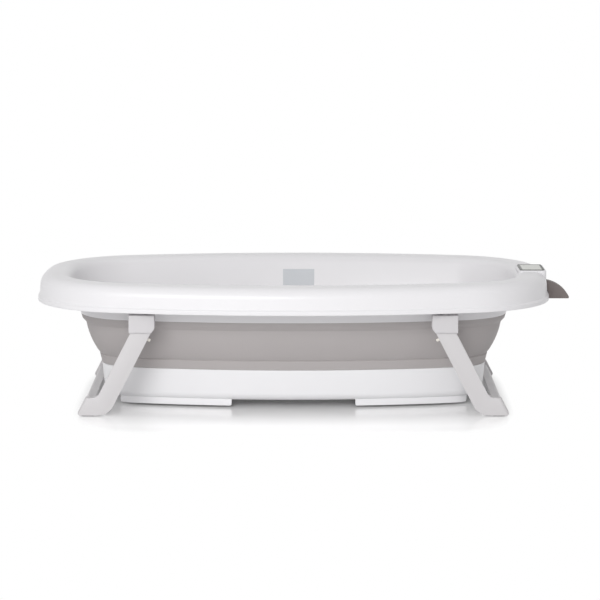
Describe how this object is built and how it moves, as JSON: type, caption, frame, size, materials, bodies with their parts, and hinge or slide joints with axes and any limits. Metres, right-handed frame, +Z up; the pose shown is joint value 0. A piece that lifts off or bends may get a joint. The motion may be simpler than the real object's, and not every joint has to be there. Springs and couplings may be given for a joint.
{
  "type": "collapsible baby bath with folding legs",
  "caption": "Oval collapsible baby bath with a rolled white rim, soft grey fold wall, white base and two folding leg frames that lock open under the rim.",
  "frame": {"origin": "on the floor under the middle of the whole part's box", "axes": "+X along the bath towards the end with the thermometer and hanging hook, +Z up, -Y towards the side the picture shows"},
  "size_m": [0.854, 0.4698, 0.2094],
  "materials": {
    "rim_white": "satin moulded plastic",
    "base_white": "satin moulded plastic",
    "fold_grey": "soft matte elastomer",
    "leg_grey": "satin moulded plastic",
    "bracket_white": "satin moulded plastic",
    "button_cream": "smooth moulded plastic",
    "steel": "plain steel",
    "pad_rubber": "matte rubber",
    "hook_taupe": "satin moulded plastic",
    "window_grey": "polished clear plastic",
    "display_grey": "liquid crystal panel",
    "board_green": "circuit board",
    "plug_grey": "soft matte elastomer",
    "label_grey": "plain film"
  },
  "bodies": {
    "bath_rim": {"rim_frame": "rim_white", "fold_wall": "fold_grey", "inside_label": "label_grey", "hanging_hook": "hook_taupe", "hook_screws": "steel", "hinge_pins": "steel", "bracket_screws": "steel", "back_right_bracket": "bracket_white", "back_left_bracket": "bracket_white", "front_right_bracket": "bracket_white", "front_left_bracket": "bracket_white"},
    "base": {"base_tub": "base_white"},
    "plug": {"drain_plug": "plug_grey"},
    "left_leg": {"left_leg_frame": "leg_grey", "left_foot_pads": "pad_rubber", "left_spring_caps": "leg_grey", "front_left_lock_spring": "steel", "back_left_lock_spring": "steel"},
    "right_leg": {"right_leg_frame": "leg_grey", "right_foot_pads": "pad_rubber", "right_spring_caps": "leg_grey", "front_right_lock_spring": "steel", "back_right_lock_spring": "steel"},
    "thermometer": {"thermometer_case": "rim_white", "thermometer_window": "window_grey", "thermometer_display": "display_grey", "thermometer_board": "board_green", "button_cell": "steel", "battery_cover": "rim_white", "battery_seal": "pad_rubber", "temperature_sensor": "steel"},
    "back_right_button": {"back_right_lock_button": "button_cream"},
    "back_left_button": {"back_left_lock_button": "button_cream"},
    "front_right_button": {"front_right_lock_button": "button_cream"},
    "front_left_button": {"front_left_lock_button": "button_cream"}
  },
  "joints": [
    {"name": "base_collapse", "type": "slide", "parent": "bath_rim", "child": "base", "axis": [0, 0, 1], "range_m": [0, 0.116], "deforming": ["fold_wall"]},
    {"name": "left_leg_fold", "type": "hinge", "parent": "bath_rim", "child": "left_leg", "pos_m": [-0.249, 0, 0.14], "axis": [0, -1, 0], "range_deg": [0, 117.3]},
    {"name": "right_leg_fold", "type": "hinge", "parent": "bath_rim", "child": "right_leg", "pos_m": [0.215, 0, 0.14], "axis": [0, 1, 0], "range_deg": [0, 117.3]},
    {"name": "drain_plug_lift", "type": "slide", "parent": "base", "child": "plug", "axis": [0, 0, 1], "range_m": [0, 0.05]},
    {"name": "thermometer_lift", "type": "slide", "parent": "bath_rim", "child": "thermometer", "axis": [0, 0, 1], "range_m": [0, 0.04]},
    {"name": "back_right_button_press", "type": "slide", "parent": "right_leg", "child": "back_right_button", "axis": [0.8886, 0, 0.4587], "range_m": [0, 0.004], "stiffness_N_per_m": 600, "springref_m": -0.003, "deforming": ["back_right_lock_spring"]},
    {"name": "back_left_button_press", "type": "slide", "parent": "left_leg", "child": "back_left_button", "axis": [-0.8886, 0, 0.4587], "range_m": [0, 0.004], "stiffness_N_per_m": 600, "springref_m": -0.003, "deforming": ["back_left_lock_spring"]},
    {"name": "front_right_button_press", "type": "slide", "parent": "right_leg", "child": "front_right_button", "axis": [0.8886, 0, 0.4587], "range_m": [0, 0.004], "stiffness_N_per_m": 600, "springref_m": -0.003, "deforming": ["front_right_lock_spring"]},
    {"name": "front_left_button_press", "type": "slide", "parent": "left_leg", "child": "front_left_button", "axis": [-0.8886, 0, 0.4587], "range_m": [0, 0.004], "stiffness_N_per_m": 600, "springref_m": -0.003, "deforming": ["front_left_lock_spring"]}
  ],
  "couplings": [
    {"joint": "left_leg_fold", "follows": "base_collapse", "rad_per_m": 17.648},
    {"joint": "right_leg_fold", "follows": "base_collapse", "rad_per_m": 17.648}
  ]
}
